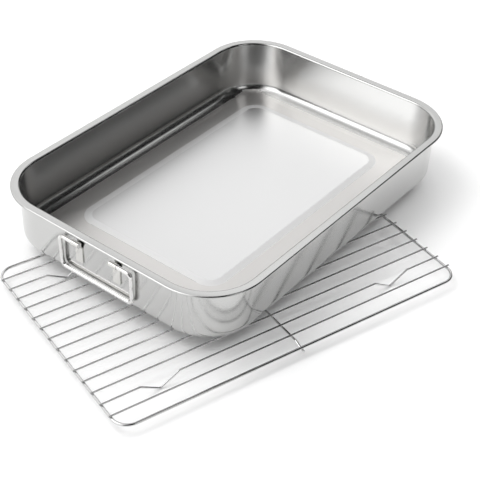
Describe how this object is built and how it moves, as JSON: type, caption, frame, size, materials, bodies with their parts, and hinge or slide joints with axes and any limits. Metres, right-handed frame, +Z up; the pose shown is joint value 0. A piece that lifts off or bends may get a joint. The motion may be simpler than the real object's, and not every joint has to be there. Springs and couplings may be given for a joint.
{
  "type": "roasting pan with rack",
  "caption": "Deep rectangular sheet-steel roasting pan with a flat rim and two swinging wire handles, standing askew on a low footed wire rack.",
  "frame": {"origin": "on the table, under the middle of the footprint of pan and rack together", "axes": "+X along the pan's long side, away from the near handle; +Y along its short side; +Z up. The rack's long side is turned 17.6 degrees clockwise from +X, seen from above"},
  "size_m": [0.4246, 0.317, 0.0616],
  "materials": {
    "pan_sheet": "pressed stainless sheet, bright with a fine rolled grain",
    "strap_sheet": "folded stainless strip",
    "handle_rod": "polished stainless rod",
    "rack_wire": "bright plated wire"
  },
  "bodies": {
    "rack": {"rack_frame": "rack_wire", "rack_wire_01": "rack_wire", "rack_wire_02": "rack_wire", "rack_wire_03": "rack_wire", "rack_wire_04": "rack_wire", "rack_wire_05": "rack_wire", "rack_wire_06": "rack_wire", "rack_wire_07": "rack_wire", "rack_wire_08": "rack_wire", "rack_wire_09": "rack_wire", "rack_wire_10": "rack_wire", "rack_wire_11": "rack_wire", "rack_wire_12": "rack_wire", "rack_wire_13": "rack_wire", "rack_wire_14": "rack_wire", "rack_cross_wire": "rack_wire"},
    "pan": {"roasting_pan": "pan_sheet", "handle_strap_near_left": "strap_sheet", "handle_strap_near_right": "strap_sheet", "handle_strap_far_left": "strap_sheet", "handle_strap_far_right": "strap_sheet"},
    "near_bail": {"handle_near": "handle_rod"},
    "far_bail": {"handle_far": "handle_rod"}
  },
  "joints": [
    {"name": "pan_lift", "type": "slide", "parent": "rack", "child": "pan", "axis": [0, 0, 1], "range_m": [0, 0.1]},
    {"name": "near_handle_swing", "type": "hinge", "parent": "pan", "child": "near_bail", "pos_m": [-0.12419, 0.04154, 0.0501], "axis": [0, 1, 0], "range_deg": [-1.5, 148]},
    {"name": "far_handle_swing", "type": "hinge", "parent": "pan", "child": "far_bail", "pos_m": [0.20881, 0.04154, 0.0501], "axis": [0, -1, 0], "range_deg": [-1.5, 148]}
  ]
}
